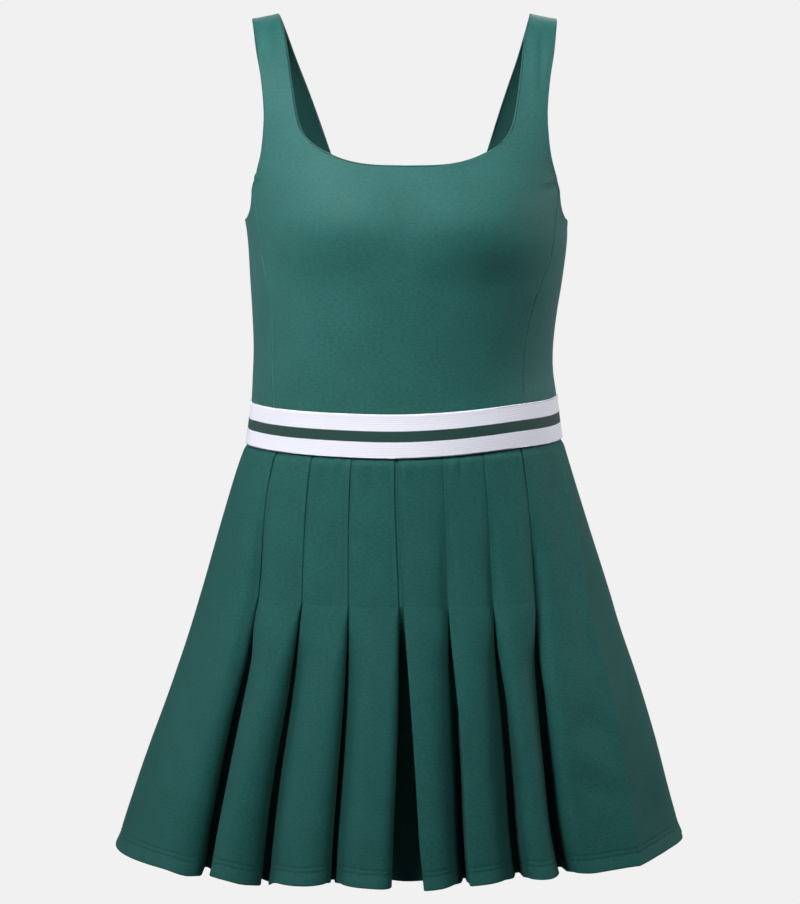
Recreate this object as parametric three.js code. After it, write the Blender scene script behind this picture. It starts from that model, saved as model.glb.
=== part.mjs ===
// A sleeveless tennis dress with a square neck, wide shoulder straps, an elastic waistband and a
// skirt of stitched-down knife pleats, shaped as it hangs when worn: hollow and open at the neck,
// the armholes and the hem. Each piece is a thin wall, one closed solid for each piece of cloth.
//
// Millimetres, +Z up. The front faces -Y and the wearer's left is at +X. The origin lies midway
// between the tops of the two straps, where the shoulders hold the dress up.
import * as THREE from "three";
import { mergeVertices } from "three/addons/utils/BufferGeometryUtils.js";

// Cloth thickness and the space left between two pieces at a seam.
const BODICE_CLOTH = 1.2;
const BAND_CLOTH = 1.8;
const SKIRT_CLOTH = 1.0;
const SEAM_GAP = 0.4;

// Heights of the main lines.
const BAND_TOP = -345;
const BAND_HEIGHT = 38;
const SKIRT_TOP = BAND_TOP - BAND_HEIGHT - SEAM_GAP;
const RELEASE = -510; // the stitching that holds the pleats down ends here
const HEM = -748;

// The body of the dress: half width at the side, depth to the front and to the back of the
// middle, how square the section is (2 is an ellipse), how far it sits to the wearer's left and
// how much its front leans that way.
const torsoSections = [
  { z: -384, width: 141.4, front: 110, back: 87, square: 2, shift: 0, lean: 0 },
  { z: -365, width: 138.6, front: 109, back: 85.5, square: 2.08, shift: 0, lean: 0 },
  { z: -345, width: 136.2, front: 108, back: 84, square: 2.15, shift: 0, lean: -0.015 },
  { z: -320, width: 133.8, front: 109.5, back: 82.5, square: 2.2, shift: -0.8, lean: -0.025 },
  { z: -295, width: 133.4, front: 111.5, back: 82, square: 2.24, shift: -0.3, lean: -0.02 },
  { z: -265, width: 135.5, front: 115, back: 83.5, square: 2.28, shift: 0.7, lean: -0.005 },
  { z: -235, width: 138.7, front: 119.5, back: 86, square: 2.32, shift: 2, lean: 0.015 },
  { z: -200, width: 141.8, front: 123.5, back: 89, square: 2.34, shift: 2.8, lean: 0.042 },
  { z: -175, width: 143.6, front: 123.5, back: 90.5, square: 2.34, shift: 1.2, lean: 0.06 },
  { z: -145, width: 147, front: 117, back: 89.5, square: 2.32, shift: 0, lean: 0.07 },
  { z: -120, width: 154, front: 106.5, back: 85, square: 2.3, shift: 0, lean: 0.07 },
  { z: -90, width: 163, front: 92.2, back: 73.6, square: 2.3, shift: 0, lean: 0.07 },
  { z: -45, width: 177, front: 65.2, back: 52, square: 2.3, shift: 0, lean: 0.07 },
  { z: 0, width: 186, front: 0, back: 0, square: 2.3, shift: 0, lean: 0.07 },
];

// The hang of the skirt, the same way. The hem swings a little towards the wearer's right.
const skirtSections = [
  { z: -383, width: 141.2, front: 110, back: 87, shift: 0 },
  { z: -407, width: 149.4, front: 113.5, back: 93, shift: -0.5 },
  { z: -453, width: 164.1, front: 121, back: 103, shift: 0.1 },
  { z: -508, width: 181, front: 131, back: 117, shift: 1.2 },
  { z: -545, width: 191.8, front: 139, back: 127, shift: 1.2 },
  { z: -600, width: 210, front: 150, back: 140, shift: 1 },
  { z: -655, width: 228, front: 160, back: 151, shift: -0.7 },
  { z: -711, width: 243.8, front: 170, back: 161, shift: -3.2 },
  { z: -748, width: 255, front: 176, back: 167, shift: -4 },
];

// How much higher the hem hangs, from the wearer's right side (-90) to the left side (90).
const frontHemLift = [
  { turn: -90, rise: 0 },
  { turn: 4, rise: 0.5 },
  { turn: 18, rise: 4.5 },
  { turn: 55, rise: 5 },
  { turn: 70, rise: 7.5 },
  { turn: 90, rise: 7 },
];
const backHemLift = [
  { turn: -90, rise: 0 },
  { turn: -30, rise: 1.5 },
  { turn: 40, rise: 3 },
  { turn: 90, rise: 7 },
];

// The waist sits higher towards the wearer's left. The lift fades out above and below it.
const WAIST = { middle: -364, reach: 70 };
const waistLift = [
  { x: -135, rise: 0.9 },
  { x: -60, rise: 0.6 },
  { x: 0, rise: 0.3 },
  { x: 45, rise: 2.2 },
  { x: 75, rise: 4.4 },
  { x: 105, rise: 6.4 },
  { x: 135, rise: 6.6 },
];

// Cut edge of the front: the princess seam up to the armhole, then the armhole up the strap.
const FRONT_SEAM_TOP = -147;
const FRONT_STRAP_FOOT = -112;
const frontEdge = [
  { z: -345, x: 109.6 },
  { z: -310, x: 109.3 },
  { z: -280, x: 110.4 },
  { z: -248, x: 115.6 },
  { z: -214, x: 125 },
  { z: -195, x: 128 },
  { z: -170, x: 131 },
  { z: -147, x: 132.8 },
  { z: -121, x: 126.8 },
  { z: -100, x: 124.4 },
  { z: -82, x: 124 },
  { z: -56, x: 126.5 },
  { z: -31, x: 130.8 },
  { z: -13, x: 133.2 },
  { z: 0, x: 135 },
];
const BACK_SEAM_TOP = -150;
const backEdge = [
  { z: -345, x: 98 },
  { z: -300, x: 98 },
  { z: -250, x: 103 },
  { z: -200, x: 111.5 },
  { z: -170, x: 116.6 },
  { z: -150, x: 118.5 },
  { z: -125, x: 117.8 },
  { z: -100, x: 118.6 },
  { z: -70, x: 121.8 },
  { z: -38, x: 127.6 },
  { z: -15, x: 132.5 },
  { z: 0, x: 135 },
];

// Necklines: the floor from the middle to the corner, then the side up the strap's inner edge.
const frontNeckFloor = [
  { x: 0, z: -127.8 },
  { x: 30, z: -127 },
  { x: 50, z: -123.9 },
  { x: 66, z: -118.2 },
  { x: 80, z: -110.5 },
  { x: 88.5, z: -101.3 },
];
const frontNeckSide = [
  { z: -101.3, x: 88.5 },
  { z: -88, x: 93.6 },
  { z: -60, x: 98.5 },
  { z: -25, x: 103.6 },
  { z: -8, x: 107.6 },
  { z: 0, x: 111 },
];
const backNeckFloor = [
  { x: 0, z: -205 },
  { x: 15, z: -204 },
  { x: 30, z: -199.5 },
  { x: 42, z: -191 },
  { x: 52, z: -178 },
  { x: 59.5, z: -160 },
];
const backNeckSide = [
  { z: -160, x: 59.5 },
  { z: -126, x: 70.6 },
  { z: -90, x: 80.4 },
  { z: -65, x: 88 },
  { z: -40, x: 97 },
  { z: -16, x: 105.6 },
  { z: 0, x: 111 },
];

// Top of the side panel, from the front seam (share 0) under the arm to the back seam (share 1).
const underarm = [
  { share: 0, z: -147 },
  { share: 0.05, z: -162 },
  { share: 0.12, z: -174 },
  { share: 0.27, z: -183.5 },
  { share: 0.5, z: -187.5 },
  { share: 0.73, z: -185 },
  { share: 0.88, z: -175 },
  { share: 0.95, z: -163 },
  { share: 1, z: -150 },
];

// Soft fullness over each cup, and the strap's fall towards the point of the shoulder.
const CUP = { x: 60, z: -178, wide: 50, tall: 36, rise: 5.5 };
const STRAP_INNER = 111;
const SHOULDER_SLOPE = 0.21;

// Folded edges of the pleats, outwards from the middle, as angles round the skirt in degrees, and
// how far an edge sways aside between its release and the hem. Every edge faces the middle. At
// the hem: how far it stands out, how deep the cloth runs in behind it and how far it runs back
// under the edge, the roundness of the fold and how late the face turns in to the next fold.
const frontLeftPleats = [
  { waist: 0.3, release: 1.4, hem: 5.9, sway: 0, out: 12, deep: 42, under: 3, round: 2, late: 3 },
  { waist: 16.2, release: 14.3, hem: 15.4, sway: 0, out: 10.5, deep: 34, under: 3, round: 2, late: 2.4 },
  { waist: 31.9, release: 27.8, hem: 28, sway: -0.4, out: 11, deep: 34, under: 5, round: 14, late: 3 },
  { waist: 49.6, release: 43.2, hem: 38, sway: -2.2, out: 12, deep: 34, under: 5, round: 12, late: 1.5 },
];
const frontRightPleats = [
  { waist: 1.1, release: -0.2, hem: -0.5, sway: 0, out: 12, deep: 42, under: 3, round: 12, late: 8 },
  { waist: 16.7, release: 13.9, hem: 12, sway: 0, out: 11, deep: 30, under: 4, round: 18, late: 4 },
  { waist: 32.8, release: 28, hem: 27.7, sway: 0, out: 10, deep: 30, under: 9, round: 22, late: 6 },
  { waist: 51.2, release: 44.7, hem: 41.5, sway: 0, out: 12.5, deep: 30, under: 14, round: 19, late: 1.5 },
];
const backLeftPleats = [
  { waist: 0.6, release: 0.7, hem: 3.2, sway: 0, out: 11.5, deep: 36, under: 3, round: 8, late: 4 },
  { waist: 16.8, release: 14.2, hem: 15.4, sway: 0.8, out: 11, deep: 28, under: 4, round: 12, late: 3 },
  { waist: 33, release: 28.4, hem: 28, sway: -0.6, out: 11.5, deep: 30, under: 7, round: 6, late: 2.5 },
  { waist: 50.6, release: 44.6, hem: 43, sway: 0, out: 10.5, deep: 28, under: 10, round: 14, late: 1.5 },
];
const backRightPleats = [
  { waist: 0.8, release: 0.6, hem: 2.4, sway: 0, out: 11.5, deep: 36, under: 3, round: 5, late: 3 },
  { waist: 16.4, release: 13.8, hem: 13.6, sway: -0.5, out: 10, deep: 30, under: 4, round: 15, late: 4 },
  { waist: 32.4, release: 28, hem: 29.4, sway: 0.6, out: 11, deep: 28, under: 8, round: 18, late: 3 },
  { waist: 50.2, release: 44, hem: 41.6, sway: -0.8, out: 12, deep: 30, under: 11, round: 10, late: 1.5 },
];

// A pleat pressed flat: three layers one pitch apart, the underlap between its two folds.
const LAYER_PITCH = 1.6;
const UNDERLAP = { waist: 16, release: 13, haste: 2 };
const INNER_FOLD = 2; // radius of the inner fold at the hem
const DEEPENING = 2.2; // how soon below the release a pleat runs deep
const PAST_EDGE = 1; // a face is all the way in this far past the next edge
const OPENING_RUN = 60; // below the release a pleat takes its open form over this height
const FACE_SHARES = [0.14, 0.34, 0.54, 0.72, 0.86, 0.95]; // points along a pleat's face
const SIDE_SHARES = [0.05, 0.14, 0.24, 0.35, 0.46, 0.58, 0.7, 0.82, 0.92];
const INNER_POINTS = 3;
const OUTER_POINTS = 4;
const LONGEST_STEP = 1.45; // most that a fold's corner lengthens half the thickness
const SAME_POINT = 1e-3; // points nearer than this are joined

// How finely each piece is divided.
const HALF_COLUMNS = { neck: 9, strap: 4 };
const SEAM_ROWS = 12;
const ARMHOLE_ROWS = 3;
const STRAP_ROWS = 14;
const BAND_COLUMNS = 72;
const BAND_ROWS = 2;
const skirtLevels = [HEM, -695, -645, -600, -560, -530, RELEASE, -475, -440, -405, SKIRT_TOP];

const green = { color: 0x2f6a63, roughness: 0.78, metalness: 0 };
const materials = {
  bodice: new THREE.MeshStandardMaterial(green),
  skirt: new THREE.MeshStandardMaterial({ ...green, color: 0x2a625b }),
  band: new THREE.MeshStandardMaterial({ color: 0xe9e9f2, roughness: 0.85, metalness: 0 }),
};

const lerp = (a, b, t) => a + (b - a) * t;
const clamp = (v) => Math.min(1, Math.max(0, v));
const smooth = (v) => clamp(v) ** 2 * (3 - 2 * clamp(v));
const radians = THREE.MathUtils.degToRad;

// Smooth curve through a table's rows: the value of a column where the key column is `at`.
function along(rows, key, column, at) {
  const last = rows.length - 1;
  const rising = rows[last][key] > rows[0][key];
  let i = 0;
  while (i < last - 1 && (rising ? at > rows[i + 1][key] : at < rows[i + 1][key])) i++;
  const slope = (k) => {
    const before = rows[Math.max(0, k - 1)];
    const after = rows[Math.min(last, k + 1)];
    return (after[column] - before[column]) / (after[key] - before[key]);
  };
  const run = rows[i + 1][key] - rows[i][key];
  const t = clamp((at - rows[i][key]) / run);
  const s = 1 - t;
  const start = s * s * (rows[i][column] * (1 + 2 * t) + slope(i) * run * t);
  const end = t * t * (rows[i + 1][column] * (1 + 2 * s) - slope(i + 1) * run * s);
  return start + end;
}

// Over the shoulder the depth follows a parabola, so the curve runs through its square.
const squaredDepths = torsoSections.map(({ z, front, back }) => {
  return { z, front: front ** 2, back: back ** 2 };
});

function torsoSection(z, side) {
  return {
    width: along(torsoSections, "z", "width", z),
    square: along(torsoSections, "z", "square", z),
    shift: along(torsoSections, "z", "shift", z),
    lean: along(torsoSections, "z", "lean", z),
    depth: Math.sqrt(Math.max(0, along(squaredDepths, "z", side, z))),
  };
}

// Depth of the plain form beside the middle, at sideways distance x.
function depthBeside(x, z, side) {
  const { width, square, depth } = torsoSection(z, side);
  return depth * (1 - Math.abs(x / width) ** square) ** (1 / square);
}

function settled(point) {
  const nearness = Math.exp(-(((point.z - WAIST.middle) / WAIST.reach) ** 2));
  point.z += along(waistLift, "x", "rise", point.x) * nearness;
  return point;
}

// The bodice's surface at a place on the plain form, with the cups, the shift and the lean.
function shaped(x, y, z) {
  const across = (Math.abs(x) - CUP.x) / CUP.wide;
  const upward = (z - CUP.z) / CUP.tall;
  const cup = CUP.rise * Math.exp(-across * across - upward * upward) * smooth(-y / CUP.wide);
  const { shift, lean } = torsoSection(z, "front");
  return settled(new THREE.Vector3(x + shift - lean * Math.min(0, y), y - cup, z));
}

// A point of the bodice at sideways distance x, on the front or the back.
function torsoBeside(x, z, side) {
  const depth = depthBeside(x, z, side);
  return shaped(x, side === "front" ? -depth : depth, z);
}

// A point of the bodice at polar angle `turn`, 0 in the middle of the front.
function torsoAt(turn, z) {
  const { width, square, depth } = torsoSection(z, Math.cos(turn) >= 0 ? "front" : "back");
  const [across, forward] = [Math.sin(turn), Math.cos(turn)];
  const sum = Math.abs(across / width) ** square + Math.abs(forward / depth) ** square;
  const reach = sum ** (-1 / square);
  return shaped(reach * across, -reach * forward, z);
}

// Polar angle of the point at sideways distance x.
function turnBeside(x, z, side) {
  const depth = depthBeside(x, z, side);
  return Math.atan2(x, side === "front" ? depth : -depth);
}

// One closed solid from a sheet of cloth given as grids of points, which are joined where they
// share points. Half of the thickness goes to each side, in the horizontal plane where `level`.
function clothWall(grids, thickness, level = false) {
  const corners = [];
  for (const grid of grids)
    for (let r = 0; r + 1 < grid.length; r++)
      for (let c = 0; c + 1 < grid[r].length; c++) {
        const [a, b, p, q] = [grid[r][c], grid[r][c + 1], grid[r + 1][c + 1], grid[r + 1][c]];
        corners.push(a, b, p, a, p, q);
      }
  const sheet = mergeVertices(new THREE.BufferGeometry().setFromPoints(corners), SAME_POINT);
  const count = sheet.attributes.position.count;
  const points = Array.from({ length: count }, (_, i) =>
    new THREE.Vector3().fromBufferAttribute(sheet.attributes.position, i),
  );

  // Each face as its corners, its unit normal and the angle it fills at each corner.
  const faces = [];
  for (let i = 0; i < sheet.index.count; i += 3) {
    const ids = [0, 1, 2].map((k) => sheet.index.getX(i + k));
    if (new Set(ids).size < ids.length) continue;
    const [a, b, c] = ids.map((id) => points[id]);
    const normal = b.clone().sub(a).cross(c.clone().sub(a));
    if (level) normal.z = 0;
    const angles = [[a, b, c], [b, c, a], [c, a, b]].map(([at, next, other]) =>
      next.clone().sub(at).angleTo(other.clone().sub(at)),
    );
    faces.push({ ids, normal: normal.normalize(), angles });
  }
  const normals = points.map(() => new THREE.Vector3());
  for (const { ids, normal, angles } of faces)
    ids.forEach((id, k) => normals[id].addScaledVector(normal, angles[k]));
  normals.forEach((n) => n.normalize());

  // At a fold the step out is longer, so that both flanks keep the cloth's thickness.
  const facing = points.map(() => ({ cosine: 0, angle: 0 }));
  for (const { ids, normal, angles } of faces)
    ids.forEach((id, k) => {
      facing[id].cosine += angles[k] * normal.dot(normals[id]);
      facing[id].angle += angles[k];
    });
  const steps = facing.map(({ cosine, angle }) =>
    Math.min(LONGEST_STEP, angle / cosine) * (thickness / 2),
  );
  const outside = points.map((p, i) => p.clone().addScaledVector(normals[i], steps[i]));
  const inside = points.map((p, i) => p.clone().addScaledVector(normals[i], -steps[i]));

  const triangles = [];
  const rim = new Map();
  for (const { ids: [a, b, c] } of faces) {
    triangles.push(a, b, c, a + count, c + count, b + count);
    for (const [from, to] of [[a, b], [b, c], [c, a]])
      if (!rim.delete(`${to} ${from}`)) rim.set(`${from} ${to}`, [from, to]);
  }
  for (const [from, to] of rim.values())
    triangles.push(to, from, from + count, to, from + count, to + count);
  const geometry = new THREE.BufferGeometry().setFromPoints([...outside, ...inside]);
  geometry.setIndex(triangles);
  geometry.computeVertexNormals();
  return geometry;
}

// Rows of heights up a panel's cut edge: even steps up the seam, then up to the strap's foot.
function edgeHeights(seamTop, strapFoot) {
  const heights = [];
  for (let r = 0; r <= SEAM_ROWS; r++) heights.push(lerp(BAND_TOP, seamTop, r / SEAM_ROWS));
  const more = strapFoot > seamTop ? ARMHOLE_ROWS : 0;
  for (let r = 1; r <= more; r++) heights.push(lerp(seamTop, strapFoot, r / ARMHOLE_ROWS));
  return heights;
}

// A front or back bodice panel: the body below the neckline, and a strap up to each shoulder.
function bodicePanel({ side, edge, seamTop, neckFloor, neckSide, strapFoot }) {
  const { neck, strap } = HALF_COLUMNS;
  const columns = neck + strap;
  const corner = neckSide[0];
  const edgeX = (z) => along(edge, "z", "x", z) - SEAM_GAP / 2;
  const footX = edgeX(strapFoot);

  // Where a column ends at the top: on the neckline, or on the foot of the strap.
  const columnTop = (column) => {
    if (column > neck) {
      const t = (column - neck) / strap;
      return { x: lerp(corner.x, footX, t), z: lerp(corner.z, strapFoot, t) };
    }
    const x = corner.x * Math.sin(((Math.PI / 2) * column) / neck);
    return { x, z: along(neckFloor, "x", "z", x) };
  };
  const body = edgeHeights(seamTop, strapFoot).map((height) => {
    const rise = (height - BAND_TOP) / (strapFoot - BAND_TOP);
    const row = [];
    for (let column = -columns; column <= columns; column++) {
      const top = columnTop(Math.abs(column));
      const z = lerp(BAND_TOP, top.z, rise);
      const share = lerp(Math.abs(column) / columns, top.x / edgeX(top.z), rise);
      row.push(torsoBeside(Math.sign(column) * share * edgeX(z), z, side));
    }
    return side === "front" ? row : row.reverse();
  });

  // The rows of a strap lie evenly along its arch, up to the seam on the shoulder.
  const seamY = side === "front" ? -SEAM_GAP / 2 : SEAM_GAP / 2;
  const straps = [-1, 1].map((hand) => {
    const rows = [];
    for (let r = 0; r <= STRAP_ROWS; r++) {
      const upward = r / STRAP_ROWS;
      const fall = (1 - upward) ** 2;
      const inner = { z: corner.z * fall, x: along(neckSide, "z", "x", corner.z * fall) };
      const outer = { z: strapFoot * fall, x: edgeX(strapFoot * fall) };
      const row = [];
      for (let column = 0; column <= strap; column++) {
        const x = lerp(inner.x, outer.x, column / strap);
        const point = torsoBeside(hand * x, lerp(inner.z, outer.z, column / strap), side);
        point.z -= SHOULDER_SLOPE * Math.max(0, x - STRAP_INNER) * upward ** 2;
        if (r === STRAP_ROWS) point.y = seamY;
        row.push(point);
      }
      rows.push(hand > 0 === (side === "front") ? row : row.reverse());
    }
    return rows;
  });
  return clothWall([body, ...straps], BODICE_CLOTH);
}

// A side panel, from the front seam round under the arm to the back seam.
function sidePanel(hand) {
  const grid = [];
  for (let r = 0; r <= SEAM_ROWS; r++) {
    const row = [];
    for (const { share, z: top } of underarm) {
      const z = lerp(BAND_TOP, top, r / SEAM_ROWS);
      const inset = SEAM_GAP / 2 / torsoSection(z, "front").width;
      const front = turnBeside(along(frontEdge, "z", "x", z), z, "front") + inset;
      const back = turnBeside(along(backEdge, "z", "x", z), z, "back") - inset;
      row.push(torsoAt(hand * lerp(front, back, share), z));
    }
    grid.push(hand > 0 ? row : row.reverse());
  }
  return clothWall([grid], BODICE_CLOTH);
}

// The elastic waistband, one closed loop.
function waistband() {
  const grid = [];
  for (let r = 0; r <= BAND_ROWS; r++) {
    const z = lerp(BAND_TOP - BAND_HEIGHT, BAND_TOP - SEAM_GAP, r / BAND_ROWS);
    const row = [];
    for (let column = 0; column < BAND_COLUMNS; column++)
      row.push(torsoAt((2 * Math.PI * column) / BAND_COLUMNS, z));
    grid.push([...row, row[0]]);
  }
  return clothWall([grid], BAND_CLOTH, true);
}

// Plain form of the skirt at a height, before it is pleated.
function skirtSection(z, side) {
  return {
    width: along(skirtSections, "z", "width", z),
    depth: along(skirtSections, "z", side, z),
    shift: along(skirtSections, "z", "shift", z),
  };
}

// A point of the skirt `turn` degrees from the middle of the front or the back, moved out.
function skirtAt(z, side, turn, out) {
  const { width, depth, shift } = skirtSection(z, side);
  const [across, forward] = [Math.sin(radians(turn)), Math.cos(radians(turn))];
  const away = new THREE.Vector2(depth * across, width * forward).setLength(out);
  const y = depth * forward + away.y;
  const rise = along(side === "front" ? frontHemLift : backHemLift, "turn", "rise", turn);
  const lifted = z + rise * clamp((RELEASE - z) / (RELEASE - HEM));
  const x = width * across + away.x + shift;
  return settled(new THREE.Vector3(x, side === "front" ? -y : y, lifted));
}

// Length round the plain form for one degree of turn.
function degreeLength(z, side, turn) {
  const { width, depth } = skirtSection(z, side);
  const angle = radians(turn);
  return radians(1) * Math.hypot(width * Math.cos(angle), depth * Math.sin(angle));
}

// A pleat's measures at a height: where its folded edge is, how far it stands out, how deep the
// cloth runs in, how far it runs back under the edge and the radius of both folds.
function pleatAt(pleat, z) {
  const held = clamp((SKIRT_TOP - z) / (SKIRT_TOP - RELEASE));
  const open = clamp((RELEASE - z) / (RELEASE - HEM));
  const loose = smooth(open * UNDERLAP.haste);
  const out = lerp(LAYER_PITCH, pleat.out, open);
  const deep = lerp(LAYER_PITCH, pleat.deep, 1 - (1 - open) ** DEEPENING);
  const under = lerp(lerp(UNDERLAP.waist, UNDERLAP.release, held), pleat.under, loose);
  const inner = lerp(LAYER_PITCH / 2, INNER_FOLD, open);

  // The largest outer fold that clears the inner one, beside it or above it.
  const [aside, apart] = [under - inner, out + deep - inner];
  const reach = aside + apart + inner;
  const beside = reach - Math.sqrt(reach ** 2 - aside ** 2 - apart ** 2 + inner ** 2);
  const above = (out + deep) / 2 - inner;
  const wanted = lerp(LAYER_PITCH / 2, pleat.round, Math.sqrt(open));
  const outer = Math.min(wanted, lerp(above, beside, loose));
  const straight = lerp(lerp(pleat.waist, pleat.release, held), pleat.hem, open);
  const edge = straight + 4 * pleat.sway * open * (1 - open);
  return { edge, out, deep, under, inner, outer, late: pleat.late };
}

// The inner fold, the flank and the outer fold of a pleat, as a belt round two rods.
function foldedUnder({ out, deep, under, inner, outer }) {
  const low = new THREE.Vector2(under - inner, inner - deep);
  const high = new THREE.Vector2(outer, out - outer);
  const between = high.clone().sub(low);
  const rods = inner + outer;
  const away = Math.atan2(between.y, between.x);
  const leave = away - Math.acos(rods / Math.max(rods, between.length()));
  const round = (rod, radius, from, to, count) =>
    Array.from({ length: count }, (_, i) => {
      const angle = lerp(from, to, i / (count - 1));
      return [rod.x + radius * Math.cos(angle), rod.y + radius * Math.sin(angle)];
    });
  return [
    ...round(low, inner, -Math.PI / 2, leave, INNER_POINTS),
    ...round(high, outer, leave + Math.PI, Math.PI / 2, OUTER_POINTS),
  ];
}

// Half of the skirt's section at a height, as turn and level pairs from the underlay in the
// middle to the side seam. Under each folded edge the cloth goes in, back and out again.
function pleatedSection(pleats, z, side, middle) {
  const opened = smooth((RELEASE - z) / OPENING_RUN);
  const seam = 90 - SEAM_GAP / 2 / degreeLength(z, side, 90);
  const folds = pleats.map((pleat) => pleatAt(pleat, z));
  const section = [{ turn: middle, level: -folds[0].deep }];
  folds.forEach((fold, k) => {
    const next = folds[k + 1] ?? { edge: seam, deep: 0, under: 0, inner: 0 };
    const perDegree = degreeLength(z, side, (fold.edge + next.edge) / 2);
    const place = (distance, level) =>
      section.push({ turn: fold.edge + distance / perDegree, level });
    foldedUnder(fold).forEach(([distance, level]) => place(distance, level));
    const width = (next.edge - fold.edge) * perDegree;
    const end = width + next.under - next.inner;
    const shares = k + 1 < folds.length ? FACE_SHARES : SIDE_SHARES;
    for (const share of shares) {
      const distance = lerp(fold.outer, end, share);
      const turning = clamp((distance - fold.outer) / (width + PAST_EDGE - fold.outer));
      const fall = lerp(smooth(share), turning ** fold.late, opened);
      place(distance, lerp(fold.out, -next.deep, fall));
    }
  });
  section.push({ turn: seam, level: 0 });
  return section;
}

// Half of the skirt, with its pleats on both sides of the middle.
function skirtPanel(side, leftPleats, rightPleats) {
  const grid = skirtLevels.map((z) => {
    const middle = (pleatAt(leftPleats[0], z).edge - pleatAt(rightPleats[0], z).edge) / 2;
    const left = pleatedSection(leftPleats, z, side, middle);
    const [, ...right] = pleatedSection(rightPleats, z, side, -middle);
    const row = right.reverse().map(({ turn, level }) => skirtAt(z, side, -turn, level));
    row.push(...left.map(({ turn, level }) => skirtAt(z, side, turn, level)));
    return side === "front" ? row : row.reverse();
  });
  return clothWall([grid], SKIRT_CLOTH, true);
}

const dress = new THREE.Group();

function add(name, geometry, material) {
  const mesh = new THREE.Mesh(geometry, material);
  mesh.name = name;
  dress.add(mesh);
}

add(
  "bodice_front",
  bodicePanel({
    side: "front",
    edge: frontEdge,
    seamTop: FRONT_SEAM_TOP,
    neckFloor: frontNeckFloor,
    neckSide: frontNeckSide,
    strapFoot: FRONT_STRAP_FOOT,
  }),
  materials.bodice,
);
add(
  "bodice_back",
  bodicePanel({
    side: "back",
    edge: backEdge,
    seamTop: BACK_SEAM_TOP,
    neckFloor: backNeckFloor,
    neckSide: backNeckSide,
    strapFoot: BACK_SEAM_TOP,
  }),
  materials.bodice,
);
add("bodice_side_left", sidePanel(1), materials.bodice);
add("bodice_side_right", sidePanel(-1), materials.bodice);
add("waistband", waistband(), materials.band);
add("skirt_front", skirtPanel("front", frontLeftPleats, frontRightPleats), materials.skirt);
add("skirt_back", skirtPanel("back", backLeftPleats, backRightPleats), materials.skirt);

export default dress;
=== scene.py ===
import math

import bpy
import numpy as np
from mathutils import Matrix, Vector


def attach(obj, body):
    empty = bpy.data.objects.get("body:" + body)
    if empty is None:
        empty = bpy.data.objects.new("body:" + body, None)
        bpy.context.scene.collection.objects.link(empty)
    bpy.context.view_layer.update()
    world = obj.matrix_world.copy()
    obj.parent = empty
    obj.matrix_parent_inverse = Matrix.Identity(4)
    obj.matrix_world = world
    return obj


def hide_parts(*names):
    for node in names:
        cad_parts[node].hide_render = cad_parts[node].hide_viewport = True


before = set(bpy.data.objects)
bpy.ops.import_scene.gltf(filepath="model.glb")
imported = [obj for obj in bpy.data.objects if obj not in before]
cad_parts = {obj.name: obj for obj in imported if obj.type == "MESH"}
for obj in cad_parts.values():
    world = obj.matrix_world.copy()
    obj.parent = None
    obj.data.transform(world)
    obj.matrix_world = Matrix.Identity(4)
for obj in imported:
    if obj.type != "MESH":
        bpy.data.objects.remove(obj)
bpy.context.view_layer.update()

scene = bpy.context.scene
scene.view_settings.view_transform = "Standard"

# Camera
# A long lens 3.2 m away, three degrees to the wearer's left of straight ahead and a little above
# the middle of the dress, so that the waistband and the hem curve downwards.
lens_turn = math.radians(3)
lens_rise = math.radians(7.5)
lens_distance = 3.2
focal_length = 141.57
aim = Vector((-0.0036, 0, -0.391))
away = Vector((
    math.sin(lens_turn) * math.cos(lens_rise),
    -math.cos(lens_turn) * math.cos(lens_rise),
    math.sin(lens_rise),
))
camera = bpy.data.objects.new("camera", bpy.data.cameras.new("camera"))
camera.data.sensor_fit = "VERTICAL"
camera.data.sensor_height = 36
camera.data.lens = focal_length
camera.data.clip_end = 2000
camera.location = aim + lens_distance * away
camera.rotation_euler = (-away).to_track_quat("-Z", "Y").to_euler()
scene.collection.objects.link(camera)
scene.camera = camera


# Studio
# The dress hangs well above a plain pale floor that runs back out of sight into air as pale. The main
# softbox stands high on the left of the camera, a weak one on the right, a large one at each side and
# the strongest behind.
paper = (0.879, 0.879, 0.879, 1)
floor_height = -3
floor_reach = 900


def node(tree, kind, inputs=None, **settings):
    """A node with its settings, each input fed by a value or by another node's output."""
    made = tree.nodes.new(kind)
    for name, value in settings.items():
        setattr(made, name, value)
    for key, value in (inputs or {}).items():
        if isinstance(value, bpy.types.NodeSocket):
            tree.links.new(value, made.inputs[key])
        else:
            made.inputs[key].default_value = value
    return made


def new_material(name):
    """An empty node material, its tree and its output."""
    material = bpy.data.materials.new(name)
    material.use_nodes = True
    material.node_tree.nodes.clear()
    return material, material.node_tree, node(material.node_tree, "ShaderNodeOutputMaterial")


floor_mesh = bpy.data.meshes.new("floor")
floor_mesh.from_pydata(
    [(x * floor_reach, y * floor_reach, floor_height) for x, y in ((-1, -1), (1, -1), (1, 1), (-1, 1))],
    [],
    [(0, 1, 2, 3)],
)
floor = bpy.data.objects.new("floor", floor_mesh)
scene.collection.objects.link(floor)
pale, pale_tree, pale_output = new_material("pale_floor")
seen = node(pale_tree, "ShaderNodeEmission", {"Color": paper, "Strength": 1})
lit = node(pale_tree, "ShaderNodeBsdfDiffuse", {"Color": (0.3, 0.3, 0.3, 1)})
looked_at = node(pale_tree, "ShaderNodeLightPath").outputs["Is Camera Ray"]
floor_mix = node(
    pale_tree, "ShaderNodeMixShader", {0: looked_at, 1: lit.outputs[0], 2: seen.outputs[0]}
)
pale_tree.links.new(floor_mix.outputs[0], pale_output.inputs["Surface"])
floor_mesh.materials.append(pale)


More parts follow.
